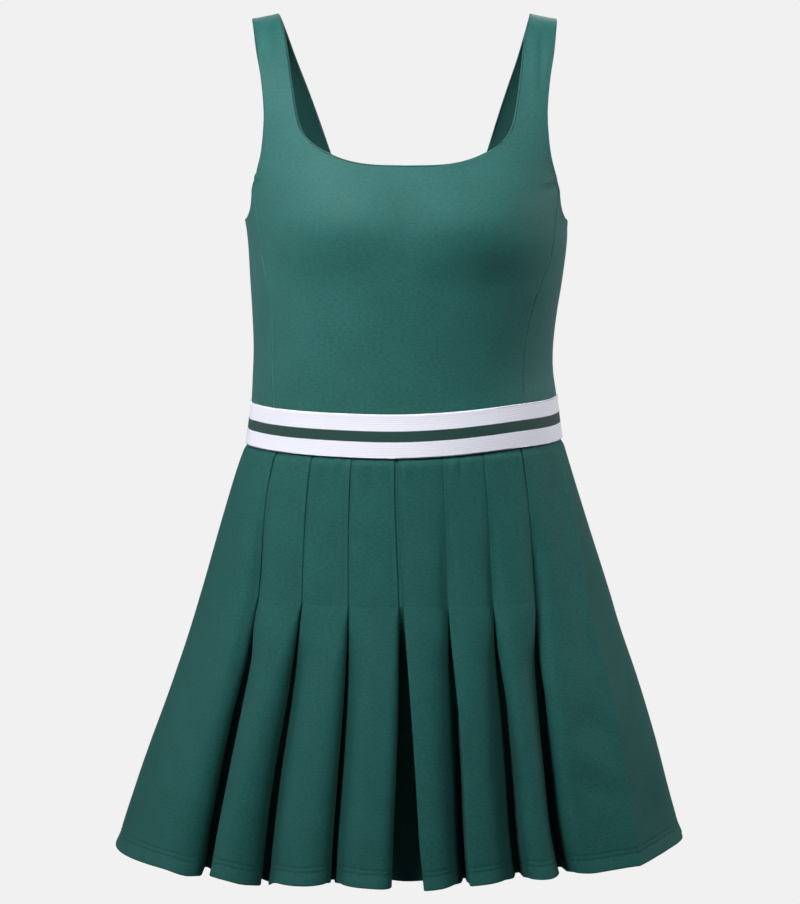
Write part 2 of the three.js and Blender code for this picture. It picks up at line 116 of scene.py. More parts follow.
def softbox(name, place, aimed_at, power, size, spread):
    """A square area light; the narrower its spread, the sooner it fades beside its aim."""
    light = bpy.data.lights.new(name, "AREA")
    light.shape = "RECTANGLE"
    light.size, light.size_y = size
    light.energy = power
    light.spread = math.radians(spread)
    lamp = bpy.data.objects.new(name, light)
    lamp.location = place
    lamp.rotation_euler = (Vector(aimed_at) - Vector(place)).to_track_quat("-Z", "Y").to_euler()
    lamp.visible_camera = False
    scene.collection.objects.link(lamp)


softbox("key_light", (-0.78, -1.12, 0.7), (0, -0.1, -0.19), 11, (0.5, 0.5), 110)
softbox("fill_light", (0.8, -1.15, 0.95), (0.12, -0.1, -0.36), 2.7, (0.6, 0.6), 76)
softbox("left_light", (-2.2, 0.1, 0.2), (0, 0, -0.4), 14, (0.8, 1.4), 180)
softbox("right_light", (2.05, 0.65, 0.3), (0, 0, -0.22), 7.8, (0.8, 1.0), 110)
softbox("back_light", (0.3, 2.6, 1.6), (0, 0, -0.4), 38, (1.6, 1.0), 180)
world = bpy.data.worlds.new("studio_air")
world.use_nodes = True
air = world.node_tree
air.nodes.clear()
soft = node(air, "ShaderNodeBackground", {"Color": (0.93, 0.96, 1, 1), "Strength": 0.15})
plain = node(air, "ShaderNodeBackground", {"Color": paper, "Strength": 1})
in_view = node(air, "ShaderNodeLightPath").outputs["Is Camera Ray"]
air_mix = node(air, "ShaderNodeMixShader", {0: in_view, 1: soft.outputs[0], 2: plain.outputs[0]})
node(air, "ShaderNodeOutputWorld", {"Surface": air_mix.outputs[0]})
scene.world = world

# Bodice
# The front and the back are each cut in one with their two straps, and a side panel fills in
# under each arm. They are a smooth stretch knit, sewn along curved princess seams, with the
# neckline and the armholes turned in over an elastic. All sizes are in millimetres.
mm = 0.001
bodice_cloth = 1.2
band_top = -345
# The plain form: half its width and its depth in front and behind at each height, how squared its
# section is, how far it hangs aside and how far its front leans over.
torso_rows = {
    "z": (-384, -365, -345, -320, -295, -265, -235, -200, -175, -145, -120, -90, -45, 0),
    "width": (141.4, 138.6, 136.2, 133.8, 133.4, 135.5, 138.7, 141.8, 143.6, 147, 154, 163, 177, 186),
    "front": (110, 109, 108, 109.5, 111.5, 115, 119.5, 123.5, 123.5, 117, 106.5, 92.2, 65.2, 0),
    "back": (87, 85.5, 84, 82.5, 82, 83.5, 86, 89, 90.5, 89.5, 85, 73.6, 52, 0),
    "square": (2, 2.08, 2.15, 2.2, 2.24, 2.28, 2.32, 2.34, 2.34, 2.32, 2.3, 2.3, 2.3, 2.3),
    "shift": (0, 0, 0, -0.8, -0.3, 0.7, 2, 2.8, 1.2, 0, 0, 0, 0, 0),
    "lean": (0, 0, -0.015, -0.025, -0.02, -0.005, 0.015, 0.042, 0.06, 0.07, 0.07, 0.07, 0.07, 0.07),
}
torso_rows["front squared"] = np.square(torso_rows["front"])
torso_rows["back squared"] = np.square(torso_rows["back"])
cup = {"x": 60, "z": -178, "wide": 50, "tall": 36, "rise": 5.5}
strap_inner = 111
shoulder_slope = 0.21
# How a panel is cut: its side edge, the foot and the side of its neck opening and the corner where
# they meet, the top of its princess seam, the top of the stitching there, and where a strap starts.
front_cut = {
    "edge": {
        "z": (-345, -310, -280, -248, -214, -195, -170, -147, -121, -100, -82, -56, -31, -13, 0),
        "x": (
            109.6, 109.3, 110.4, 115.6, 125, 128, 131, 132.8, 126.8, 124.4, 124, 126.5, 130.8, 133.2, 135
        ),
    },
    "floor": {
        "x": (0, 30, 50, 66, 80, 88.5, 93.6),
        "z": (-127.8, -127, -123.9, -118.2, -110.5, -101.3, -88),
    },
    "neck side": {
        "z": (-110.5, -101.3, -88, -60, -25, -8, 0),
        "x": (80, 88.5, 93.6, 98.5, 103.6, 107.6, 111),
    },
    "corner": (88.5, -101.3),
    "seam top": -147,
    "cover top": -208,
    "strap foot": -112,
}
back_cut = {
    "edge": {
        "z": (-345, -300, -250, -200, -170, -150, -125, -100, -70, -38, -15, 0),
        "x": (98, 98, 103, 111.5, 116.6, 118.5, 117.8, 118.6, 121.8, 127.6, 132.5, 135),
    },
    "floor": {"x": (0, 15, 30, 42, 52, 59.5, 70.6), "z": (-205, -204, -199.5, -191, -178, -160, -126)},
    "neck side": {
        "z": (-178, -160, -126, -90, -65, -40, -16, 0),
        "x": (52, 59.5, 71, 82.3, 90.6, 99.2, 106.4, 111),
    },
    "corner": (59.5, -160),
    "seam top": -150,
    "cover top": -165,
    "strap foot": -150,
}
# The waist sits higher towards the wearer's left, as the dress hangs in the photograph.
waist_height, waist_spread = -364, 70
waist_lift = {"x": (-135, -60, 0, 45, 75, 105, 135), "rise": (0.9, 0.6, 0.3, 2.2, 4.4, 6.4, 6.6)}
underarm = {
    "share": (0, 0.05, 0.12, 0.27, 0.5, 0.73, 0.88, 0.95, 1),
    "z": (-143.5, -160, -171, -179, -181, -180, -171, -161, -148),
}


def along(rows, key, column, at):
    """Smooth curve through a table's rows: a column's value where the key column is `at`."""
    keys, values = np.array(rows[key], float), np.array(rows[column], float)
    if keys[0] > keys[-1]:
        keys, values = keys[::-1], values[::-1]
    slopes = np.concatenate([
        [(values[1] - values[0]) / (keys[1] - keys[0])],
        (values[2:] - values[:-2]) / (keys[2:] - keys[:-2]),
        [(values[-1] - values[-2]) / (keys[-1] - keys[-2])],
    ])
    i = np.clip(np.searchsorted(keys, at, side="right") - 1, 0, len(keys) - 2)
    run = keys[i + 1] - keys[i]
    t = np.clip((at - keys[i]) / run, 0, 1)
    s = 1 - t
    start = s * s * (values[i] * (1 + 2 * t) + slopes[i] * run * t)
    return start + t * t * (values[i + 1] * (1 + 2 * s) - slopes[i + 1] * run * s)


def mix(a, b, t):
    return a + (b - a) * t


def smooth(v):
    v = np.clip(v, 0, 1)
    return v * v * (3 - 2 * v)


def settled(points):
    """Lifts what lies near the waist towards the wearer's left."""
    nearness = np.exp(-(((points[..., 2] - waist_height) / waist_spread) ** 2))
    points[..., 2] += along(waist_lift, "x", "rise", points[..., 0]) * nearness
    return points


def torso_depth(z, side):
    return np.sqrt(np.maximum(0, along(torso_rows, "z", side + " squared", z)))


def torso_point(x, y, z):
    """Moves a place on the plain form out over the cups, and aside as the dress hangs."""
    across = (np.abs(x) - cup["x"]) / cup["wide"]
    upward = (z - cup["z"]) / cup["tall"]
    fullness = cup["rise"] * np.exp(-across * across - upward * upward) * smooth(-y / cup["wide"])
    shift, lean = (along(torso_rows, "z", name, z) for name in ("shift", "lean"))
    return settled(np.stack([x + shift - lean * np.minimum(0, y), y - fullness, z + 0 * x], -1))


def torso_reach(x, z, side):
    """Depth of the plain form at sideways distance x."""
    width, square = (along(torso_rows, "z", name, z) for name in ("width", "square"))
    return torso_depth(z, side) * np.maximum(0, 1 - np.abs(x / width) ** square) ** (1 / square)


def torso_beside(x, z, side):
    reach = torso_reach(x, z, side)
    return torso_point(x, -reach if side == "front" else reach, z)


def torso_turned(turn, z):
    """A point at polar angle `turn`, 0 in the middle of the front."""
    width, square = (along(torso_rows, "z", name, z) for name in ("width", "square"))
    depth = np.where(np.cos(turn) >= 0, torso_depth(z, "front"), torso_depth(z, "back"))
    total = np.abs(np.sin(turn) / width) ** square + np.abs(np.cos(turn) / depth) ** square
    reach = total ** (-1 / square)
    return torso_point(reach * np.sin(turn), -reach * np.cos(turn), z)


def grid_quads(ids):
    return np.stack([ids[:-1, :-1], ids[:-1, 1:], ids[1:, 1:], ids[1:, :-1]], -1).reshape(-1, 4)


def grid_lengths(grid):
    """Length of cloth along each row from its middle, and up each column from its foot."""
    steps = np.linalg.norm(np.diff(grid, axis=1), axis=2)
    across = np.pad(np.cumsum(steps, axis=1), ((0, 0), (1, 0)))
    across -= across[:, [grid.shape[1] // 2]]
    rises = np.linalg.norm(np.diff(grid, axis=0), axis=2)
    return np.stack([across, np.pad(np.cumsum(rises, axis=0), ((1, 0), (0, 0)))], -1)


def cloth_normals(points, quads):
    """Directions out of a sheet at its points, each face weighed by its corner's angle."""
    normals = np.zeros_like(points)
    a, b, c, d = (points[quads[:, k]] for k in range(4))
    faces = np.cross(c - a, d - b)
    faces /= np.maximum(1e-9, np.linalg.norm(faces, axis=1))[:, None]
    for k in range(4):
        corner = points[quads[:, k]]
        ahead = points[quads[:, (k + 1) % 4]] - corner
        behind = points[quads[:, k - 1]] - corner
        spans = np.linalg.norm(ahead, axis=1) * np.linalg.norm(behind, axis=1)
        angle = np.arccos(np.clip((ahead * behind).sum(axis=1) / np.maximum(1e-9, spans), -1, 1))
        np.add.at(normals, quads[:, k], faces * angle[:, None])
    return normals / np.maximum(1e-9, np.linalg.norm(normals, axis=1))[:, None]


def distance_to(points, line):
    """How far each point is from the nearest of a line's points."""
    gaps = [np.linalg.norm(points - place, axis=1) for place in line]
    return np.min(gaps, axis=0)


def crease(flat, path, height, width):
    """Height of a soft ridge along a path (a trough where it is negative), gone at both ends."""
    path = np.array(path, float)
    steps = np.linspace(0, len(path) - 1, 30)
    places = np.stack([np.interp(steps, range(len(path)), path[:, k]) for k in (0, 1)], -1)
    fade = np.sin(np.linspace(0, np.pi, 30)) ** 0.6
    marks = [
        strength * np.exp(-((flat - place) ** 2).sum(axis=1) / width**2)
        for strength, place in zip(fade, places)
    ]
    return height * np.max(marks, axis=0)


def cloth_shell(name, points, quads, lengths, outer, inner, material):
    """A closed shell of cloth round a sheet of points, its cut edges rounded: outer and inner are
    its thickness outside and inside the sheet at each point."""
    normals = cloth_normals(points, quads)
    sides = np.concatenate([quads[:, [k, (k + 1) % 4]] for k in range(4)])
    count = len(points)
    forth, back_again = sides @ (count, 1), sides @ (1, count)
    rim = sides[~np.isin(forth, back_again)]
    beyond = np.zeros_like(points)
    outwards = np.cross(points[rim[:, 1]] - points[rim[:, 0]], normals[rim[:, 0]])
    for end in (0, 1):
        np.add.at(beyond, rim[:, end], outwards)
    beyond /= np.maximum(1e-9, np.linalg.norm(beyond, axis=1))[:, None]
    radius = ((outer + inner) / 2)[:, None]
    centre = points + normals * ((outer - inner) / 2)[:, None] - beyond * radius
    on_rim = np.unique(rim)
    place_of = np.zeros(count, int)
    place_of[on_rim] = np.arange(len(on_rim))
    rings = [centre + normals * radius]
    for angle in np.radians((45, 90, 135)):
        ring = centre + radius * (normals * math.cos(angle) + beyond * math.sin(angle))
        rings.append(ring[on_rim])
    rings.append(centre - normals * radius)
    starts = np.cumsum([0] + [len(ring) for ring in rings])
    faces = [quads, quads[:, ::-1] + starts[4]]
    for k in range(4):
        here, there = (
            rim + starts[n] if n in (0, 4) else place_of[rim] + starts[n] for n in (k, k + 1)
        )
        faces.append(np.stack([here[:, 1], here[:, 0], there[:, 0], there[:, 1]], -1))
    faces = np.concatenate(faces)
    mesh = bpy.data.meshes.new(name)
    mesh.from_pydata((np.concatenate(rings) * mm).tolist(), [], faces.tolist())
    on_cloth = np.concatenate([lengths, *([lengths[on_rim]] * 3), lengths]) * mm
    mesh.uv_layers.new(name="cloth").data.foreach_set("uv", on_cloth[faces.ravel()].ravel())
    wrong_side = np.arange(starts[5]) >= starts[4]
    inside = mesh.attributes.new("wrong_side", "FLOAT", "POINT")
    inside.data.foreach_set("value", wrong_side.astype(float))
    mesh.shade_smooth()
    mesh.materials.append(material)
    shell = bpy.data.objects.new(name, mesh)
    scene.collection.objects.link(shell)
    return shell


def maths(tree, operation, *values):
    """The output of one sum in a tree."""
    return node(tree, "ShaderNodeMath", dict(enumerate(values)), operation=operation).outputs[0]


def knit_group():
    """Rows of small V loops by the cloth's own lengths, the dye's faint unevenness, and painted shade
    that darkens the tone in the hollows between the loops.
    """
    group = bpy.data.node_groups.new("stretch_knit", "ShaderNodeTree")
    for name, kind, low in (
        ("Cloth", "NodeSocketVector", None),
        ("Wale", "NodeSocketFloat", 0.0008),
        ("Course", "NodeSocketFloat", 0.0006),
        ("Mottle", "NodeSocketFloat", 30),
    ):
        socket = group.interface.new_socket(name, in_out="INPUT", socket_type=kind)
        if low is not None:
            socket.default_value = low
    for name in ("Tone", "Height"):
        group.interface.new_socket(name, in_out="OUTPUT", socket_type="NodeSocketFloat")
    given = node(group, "NodeGroupInput")
    cloth = node(group, "ShaderNodeSeparateXYZ", {0: given.outputs["Cloth"]})
    wale = maths(group, "DIVIDE", cloth.outputs[0], given.outputs["Wale"])
    lean = maths(group, "PINGPONG", wale, 0.5)
    course = maths(group, "DIVIDE", cloth.outputs[1], given.outputs["Course"])
    loop = maths(group, "PINGPONG", maths(group, "ADD", course, lean), 0.5)
    height = maths(group, "ADD", maths(group, "SMOOTH_MIN", lean, 0.35, 0.2), loop)
    dye = node(group, "ShaderNodeTexNoise", {
        "Vector": given.outputs["Cloth"], "Scale": given.outputs["Mottle"], "Detail": 3,
    })
    drawn_out = node(group, "ShaderNodeMapping", {0: given.outputs["Cloth"], 3: (0.45, 1, 1)})
    yarn = node(group, "ShaderNodeTexNoise", {
        "Vector": drawn_out.outputs[0], "Scale": 650, "Detail": 2,
    })
    blotch = maths(group, "MULTIPLY_ADD", dye.outputs[0], 0.7, 0.15)
    fleck = maths(group, "MULTIPLY_ADD", yarn.outputs[0], 1.7, -0.85)
    # Painted shade: the tone is darker in the hollows between the loops and lighter on their tops.
    groove = maths(group, "MULTIPLY_ADD", height, 0.25, -0.1)
    tone = maths(group, "ADD", maths(group, "ADD", blotch, fleck), groove)
    out = node(group, "NodeGroupOutput")
    group.links.new(tone, out.inputs["Tone"])
    group.links.new(height, out.inputs["Height"])
    return group


stretch_knit = knit_group()


def knit_material(name, dark, light, wrong_tone_and_shade, roughness, gloss, sheen):
    """A knit between a dark and a light tone on its right side, and of one darker tone on its wrong
    side: partly that side's duller face, partly painted shade of the shadowed inside.
    """
    material, tree, output = new_material(name)
    on_cloth = node(tree, "ShaderNodeUVMap", uv_map="cloth")
    knit = node(tree, "ShaderNodeGroup", node_tree=stretch_knit)
    tree.links.new(on_cloth.outputs[0], knit.inputs["Cloth"])
    right = node(tree, "ShaderNodeMix", {0: knit.outputs["Tone"], 6: dark, 7: light}, data_type="RGBA")
    inside = node(tree, "ShaderNodeAttribute", attribute_name="wrong_side").outputs["Fac"]
    # Painted shade in part: the wrong side's one darker tone stands both for its duller face and for the
    # shade inside the dress.
    colour = node(tree, "ShaderNodeMix", {0: inside, 6: right.outputs[2], 7: wrong_tone_and_shade}, data_type="RGBA")
    bump = node(tree, "ShaderNodeBump", {
        "Strength": 0.28, "Distance": 0.00012, "Height": knit.outputs["Height"],
    })
    shader = node(tree, "ShaderNodeBsdfPrincipled", {
        "Base Color": colour.outputs[2],
        "Roughness": roughness,
        "Specular IOR Level": gloss,
        "Sheen Weight": sheen,
        "Sheen Roughness": 0.4,
        "Sheen Tint": (0.8, 0.87, 0.84, 1),
        "Normal": bump.outputs[0],
    })
    tree.links.new(shader.outputs[0], output.inputs["Surface"])
    return material


# Its wrong-side tone is darker partly for that side's duller face and partly as painted shade of the
# inside.
bodice_knit = knit_material(
    "bodice_knit",
    dark=(0.012, 0.087, 0.078, 1), light=(0.021, 0.131, 0.118, 1), wrong_tone_and_shade=(0.01, 0.062, 0.058, 1),
    roughness=0.66, gloss=0.28, sheen=0.11,
)


def stitch_tree():
    """Rows of small rounded stitches along the edges of a mesh."""
    tree = bpy.data.node_groups.new("row_of_stitches", "GeometryNodeTree")
    face = tree.interface
    face.new_socket("Rows", in_out="INPUT", socket_type="NodeSocketGeometry")
    for name in ("Pitch", "Stitch", "Thread"):
        face.new_socket(name, in_out="INPUT", socket_type="NodeSocketFloat")
    face.new_socket("Seed", in_out="INPUT", socket_type="NodeSocketInt")
    face.new_socket("Yarn", in_out="INPUT", socket_type="NodeSocketMaterial")
    face.new_socket("Stitches", in_out="OUTPUT", socket_type="NodeSocketGeometry")
    given = node(tree, "NodeGroupInput").outputs
    rows = node(tree, "GeometryNodeMeshToCurve", {0: given["Rows"]})
    places = node(tree, "GeometryNodeCurveToPoints", {
        "Curve": rows.outputs[0], "Length": given["Pitch"],
    }, mode="LENGTH")
    bead = node(tree, "GeometryNodeMeshUVSphere", {"Segments": 5, "Rings": 4, "Radius": 1})
    half_stitch = maths(tree, "MULTIPLY", given["Stitch"], 0.5)
    size = node(tree, "ShaderNodeCombineXYZ", {0: given["Thread"], 1: given["Thread"], 2: half_stitch})
    unevenness = node(tree, "FunctionNodeRandomValue", {
        0: (0.85, 0.85, 0.8), 1: (1.1, 1.1, 1.1),
    }, data_type="FLOAT_VECTOR")
    tree.links.new(given["Seed"], unevenness.inputs["Seed"])
    shaped_bead = node(tree, "GeometryNodeTransform", {
        "Geometry": bead.outputs[0], "Scale": size.outputs[0],
    })
    stitches = node(tree, "GeometryNodeInstanceOnPoints", {
        "Points": places.outputs[0],
        "Instance": shaped_bead.outputs[0],
        "Rotation": places.outputs["Rotation"],
        "Scale": unevenness.outputs[0],
    })
    real = node(tree, "GeometryNodeRealizeInstances", {0: stitches.outputs[0]})
    coloured = node(tree, "GeometryNodeSetMaterial", {0: real.outputs[0], "Material": given["Yarn"]})
    out = node(tree, "NodeGroupOutput")
    tree.links.new(coloured.outputs[0], out.inputs[0])
    return tree


row_of_stitches = stitch_tree()


def thread_material(name, dark, light):
    """A twisted sewing thread, mottled finely between two tones."""
    material, tree, output = new_material(name)
    ply = node(tree, "ShaderNodeTexNoise", {
        "Vector": node(tree, "ShaderNodeTexCoord").outputs["Object"], "Scale": 900, "Detail": 1,
    })
    colour = node(tree, "ShaderNodeMix", {0: ply.outputs[0], 6: dark, 7: light}, data_type="RGBA")
    shader = node(tree, "ShaderNodeBsdfPrincipled", {
        "Base Color": colour.outputs[2], "Roughness": 0.45, "Specular IOR Level": 0.4,
    })
    tree.links.new(shader.outputs[0], output.inputs["Surface"])
    return material


green_thread = thread_material("green_thread", (0.028, 0.16, 0.14, 1), (0.042, 0.22, 0.195, 1))


def sew(name, lines, pitch, length, thread, slot, seed, yarn=green_thread):
    """One piece of stitches along lines of points on the cloth's face."""
    mesh = bpy.data.meshes.new(name)
    starts = np.cumsum([0] + [len(line) for line in lines])
    links = [(i, i + 1) for a, b in zip(starts[:-1], starts[1:]) for i in range(a, b - 1)]
    mesh.from_pydata((np.concatenate(lines) * mm).tolist(), links, [])
    piece = bpy.data.objects.new(name, mesh)
    scene.collection.objects.link(piece)
    sewing = piece.modifiers.new("sewing", "NODES")
    sewing.node_group = row_of_stitches
    sizes = {
        "Pitch": pitch * mm, "Stitch": length * mm, "Thread": thread * mm, "Seed": seed, "Yarn": yarn,
    }
    for item in row_of_stitches.interface.items_tree:
        if item.name in sizes:
            sewing[item.identifier] = sizes[item.name]
    done = piece.evaluated_get(bpy.context.evaluated_depsgraph_get())
    stitches = bpy.data.meshes.new_from_object(done)
    piece.modifiers.clear()
    piece.data = stitches
    stitches.shade_smooth()
    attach(piece, "root")
    return piece


# The part of a panel's half width at the waist whose cloth runs up to the neckline, not the strap.
neck_share = 9 / 13


def bodice_sheet(side, cut):
    """Points of a front or back panel, its quads, lengths of cloth and named edges."""
    edge = cut["edge"]
    corner_x, corner_z = cut["corner"]
    foot = cut["strap foot"]
    foot_x = along(edge, "z", "x", foot)
    neck_steps = np.linspace(0, 1, 27)
    strap_steps = np.array((
        0.03, 0.07, 0.12, 0.18, 0.26, 0.35, 0.45, 0.55, 0.65,
        0.74, 0.81, 0.86, 0.9, 0.93, 0.955, 0.98, 1,
    ))
    neck_x = corner_x * np.sin(neck_steps * np.pi / 2)
    top_x = np.concatenate([neck_x, mix(corner_x, foot_x, strap_steps)])
    top_z = np.concatenate([along(cut["floor"], "x", "z", neck_x), mix(corner_z, foot, strap_steps)])
    low_share = np.concatenate([neck_steps * neck_share, mix(neck_share, 1, strap_steps)])
    rises = np.concatenate([np.linspace(0, 0.965, 84), (0.973, 0.98, 0.986, 0.991, 0.996, 1)])[:, None]
    z = mix(band_top, top_z, rises)
    x = mix(low_share, top_x / along(edge, "z", "x", top_z), rises) * along(edge, "z", "x", z)
    body = torso_beside(np.hstack([-x[:, :0:-1], x]), np.hstack([z[:, :0:-1], z]), side)
    columns = body.shape[1]
    strap_columns = len(strap_steps) + 1
    body_ids = np.arange(body.shape[0] * columns).reshape(-1, columns)
    body_lengths = grid_lengths(body)
    points, lengths = [body.reshape(-1, 3)], [body_lengths.reshape(-1, 2)]
    quads = [grid_quads(body_ids)]
    edges = {"armhole": [], "shoulder": []}
    edges["neck"] = [body[-1, strap_columns - 1:columns - strap_columns + 1]]
    on_seam = z[:, -1] <= cut["seam top"]
    low = z[:, -1] <= cut["cover top"]
    edges["cover stitch"] = [body_ids[low, 0], body_ids[low, -1]]
    edges["seam"] = [body[on_seam, 0], body[on_seam, -1]]
    edges["armhole"] += [body[~on_seam, 0], body[~on_seam, -1]]
    start = len(points[0])
    shares = np.concatenate([[0], strap_steps])
    for hand in (-1, 1):
        upward = np.linspace(0, 1, 56)[:, None]
        fall = (1 - upward) ** 2
        inner_z, outer_z = corner_z * fall, foot * fall
        inner_x = along(cut["neck side"], "z", "x", inner_z)
        outer_x = along(edge, "z", "x", outer_z)
        strap_x, strap_z = mix(inner_x, outer_x, shares), mix(inner_z, outer_z, shares)
        strap = torso_beside(hand * strap_x, strap_z, side)
        strap[..., 2] -= shoulder_slope * np.maximum(0, strap_x - strap_inner) * upward**2
        strap[-1, :, 1] = 0
        ids = np.arange(strap.shape[0] * strap_columns).reshape(-1, strap_columns)
        ids += start - strap_columns
        foot_ids = body_ids[-1, -strap_columns:] if hand > 0 else body_ids[-1, :strap_columns][::-1]
        ids[0] = foot_ids
        reach = grid_lengths(strap)
        foot_lengths = body_lengths.reshape(-1, 2)[foot_ids]
        span = np.linalg.norm(strap - strap[:, :1], axis=2)
        on_strap = np.stack([foot_lengths[0, 0] + hand * span, reach[..., 1] + foot_lengths[:, 1]], -1)
        points.append(strap[1:].reshape(-1, 3))
        lengths.append(on_strap[1:].reshape(-1, 2))
        quads.append(grid_quads(ids if hand > 0 else ids[:, ::-1]))
        start += (strap.shape[0] - 1) * strap_columns
        edges["neck"].append(strap[:, 0])
        edges["armhole"].append(strap[:, -1])
        edges["shoulder"].append(strap[-1])
    quads = np.concatenate(quads)
    if side == "back":
        quads = quads[:, ::-1]
    return np.concatenate(points), quads, np.concatenate(lengths), edges


def side_sheet(hand):
    """Points of the side panel, from the front seam round under the arm to the back seam."""
    shares = np.concatenate([
        (0, 0.012, 0.024, 0.038, 0.055), np.linspace(0.08, 0.92, 26), (0.945, 0.962, 0.976, 0.988, 1)
    ])
    rises = np.concatenate([np.linspace(0, 0.955, 60), (0.965, 0.974, 0.982, 0.989, 0.995, 1)])[:, None]
    z = mix(band_top, along(underarm, "share", "z", shares), rises)
    front_x, back_x = along(front_cut["edge"], "z", "x", z), along(back_cut["edge"], "z", "x", z)
    front = np.arctan2(front_x, torso_reach(front_x, z, "front"))
    back = np.arctan2(back_x, -torso_reach(back_x, z, "back"))
    grid = torso_turned(hand * mix(front, back, shares), z)
    ids = np.arange(grid[..., 0].size).reshape(grid.shape[:2])
    edges = {"seam": [grid[:, 0], grid[:, -1]], "armhole": [grid[-1]], "neck": [], "shoulder": []}
    quads = grid_quads(ids)
    if hand < 0:
        quads = quads[:, ::-1]
    return grid.reshape(-1, 3), quads, grid_lengths(grid).reshape(-1, 2), edges


seam_depth = 0.3
turned_edge, turned_width = 0.55, 5
cover_stitch = {"pitch": 1.5, "length": 1.5, "thread": 0.62}


def sewn_bodice(name, sheet, creases):
    """Sinks the seams, thickens the turned edges, lays in the creases and makes the shell."""
    points, quads, lengths, edges = sheet
    turned = distance_to(points, np.concatenate(edges["neck"] + edges["armhole"]))
    sewn = distance_to(points, np.concatenate(edges["seam"] + edges["shoulder"]))
    ridge, groove = np.exp(-(((sewn - 2.4) / 1.3) ** 2)), np.exp(-((sewn / 1.1) ** 2))
    move = seam_depth * ridge - seam_depth * groove
    for path, height, width in creases:
        move = move + crease(points[:, [0, 2]], path, height, width)
    points = points + cloth_normals(points, quads) * move[:, None]
    roll = turned_edge * np.exp(-((turned / turned_width) ** 4)) * smooth(sewn / 4)
    outer = bodice_cloth / 2 + roll * 0.5
    shell = cloth_shell(name + "_cloth", points, quads, lengths, outer, outer + roll, bodice_knit)
    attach(shell, "root")
    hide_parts(name)
    face = points + cloth_normals(points, quads) * outer[:, None]
    rows = [face[line] for line in edges.get("cover stitch", [])]
    if rows:
        sew(name + "_stitches", rows, slot="bodice_knit", seed=len(points), **cover_stitch)


# Each crease: its path across and up the cloth, its height (a trough where negative) and its width.
# First the two troughs under the bust, then the straps, then the puckers at the armholes.
front_creases = [
    ([(-106, -229), (-72, -235), (-34, -231)], -2.1, 26),
    ([(34, -228), (74, -234), (108, -227)], -1.9, 24),
    ([(-119, -6), (-117, -25), (-114, -50)], 1.4, 4.5),
    ([(-127, -8), (-125, -28), (-122, -52)], -1.1, 3),
    ([(116, -8), (117, -30), (118, -58)], 1.2, 3.5),
    ([(123, -10), (122, -34), (121, -60)], -1, 3),
    ([(129, -12), (127, -36), (125, -66)], 0.9, 3),
    ([(112, -36), (117, -62), (121, -92)], 0.8, 4.5),
    ([(-135, -133), (-130, -135), (-124, -137)], -1, 2.2),
    ([(-135, -138), (-129, -140), (-122, -141)], 0.8, 2.4),
    ([(-135, -144), (-129, -146), (-123, -148)], -0.8, 2.4),
    ([(137, -140), (131, -143), (125, -144)], 0.7, 2.6),
    ([(137, -147), (131, -150), (125, -152)], -0.6, 2.6),
]
sewn_bodice(
    "bodice_front", bodice_sheet("front", front_cut), front_creases,
)
back_creases = [
    ([(-62, -322), (-20, -327), (26, -323)], 1, 7),
    ([(-38, -306), (8, -311), (58, -304)], -0.9, 8),
    ([(-92, -296), (-74, -306), (-52, -309)], 0.8, 6),
    ([(60, -318), (78, -306), (94, -288)], 0.9, 6),
    ([(-121, -30), (-115, -60), (-108, -92)], 0.9, 4),
    ([(118, -24), (113, -52), (107, -84)], 1, 4),
]
sewn_bodice(
    "bodice_back", bodice_sheet("back", back_cut), back_creases,
)
for name, hand in (("bodice_side_left", 1), ("bodice_side_right", -1)):
    sewn_bodice(name, side_sheet(hand), [])

# Waistband
# A white woven elastic 38 mm wide with a green stripe woven into it, sewn into a ring with an
# overlap at the wearer's right side and standing a little proud of the cloth above and below.
band_height, band_cloth, band_proud, band_round = 38, 1.8, 0.5, 120
overlap_turn, overlap_span, overlap_rise = math.radians(-80), 0.16, 1.1
# In metres: the height of the stripe's middle, half its width, and the widths of a pick and a rib.
stripe_height, half_stripe, pick, rib_width = -0.36375, 0.0048, 0.0011, 0.0019
band_rise = np.concatenate([(0, 0.6, 1.3), np.linspace(2.2, 36.6, 26), (37.5, 38.2, 38.8)])[:, None]
band_turn = np.linspace(0, 2 * np.pi, 361)[None, :-1] - np.pi
band_z = band_top - band_height + band_rise
band_points = torso_turned(band_turn, band_z)
band_ids = np.arange(band_points[..., 0].size).reshape(band_points.shape[:2])
band_quads = grid_quads(np.hstack([band_ids, band_ids[:, :1]]))
past_overlap = overlap_turn + overlap_span - band_turn
overlap = smooth((band_turn - overlap_turn) / 0.012) * smooth(past_overlap / 0.05)
band_lengths = np.stack([band_turn * band_round + 0 * band_z, band_z + 0 * band_turn], -1)
band_lengths = band_lengths.reshape(-1, 2)
band_points = band_points.reshape(-1, 3)
band_move = (band_proud + overlap_rise * overlap + 0 * band_z).reshape(-1)
band_points += cloth_normals(band_points, band_quads) * band_move[:, None]

elastic, tree, elastic_output = new_material("waist_elastic")
cloth_map = node(tree, "ShaderNodeUVMap", uv_map="cloth")
on_band = node(tree, "ShaderNodeSeparateXYZ", {0: cloth_map.outputs[0]})
picks = maths(tree, "PINGPONG", maths(tree, "DIVIDE", on_band.outputs[0], pick), 0.5)
wander = maths(tree, "MULTIPLY", picks, 0.0002)
from_middle = maths(tree, "ABSOLUTE", maths(tree, "SUBTRACT", on_band.outputs[1], stripe_height))
stripe = maths(tree, "SUBTRACT", maths(tree, "ADD", from_middle, wander), half_stripe)
stripe_mask = node(tree, "ShaderNodeMapRange", {0: stripe, 1: -0.0002, 2: 0.0002, 3: 1, 4: 0})
rib = maths(tree, "PINGPONG", maths(tree, "DIVIDE", on_band.outputs[1], rib_width), 0.5)
weave = maths(tree, "ADD", rib, maths(tree, "MULTIPLY", picks, 0.5))
shade = node(tree, "ShaderNodeMapRange", {0: rib, 1: 0, 2: 0.3, 3: 0.9, 4: 1})
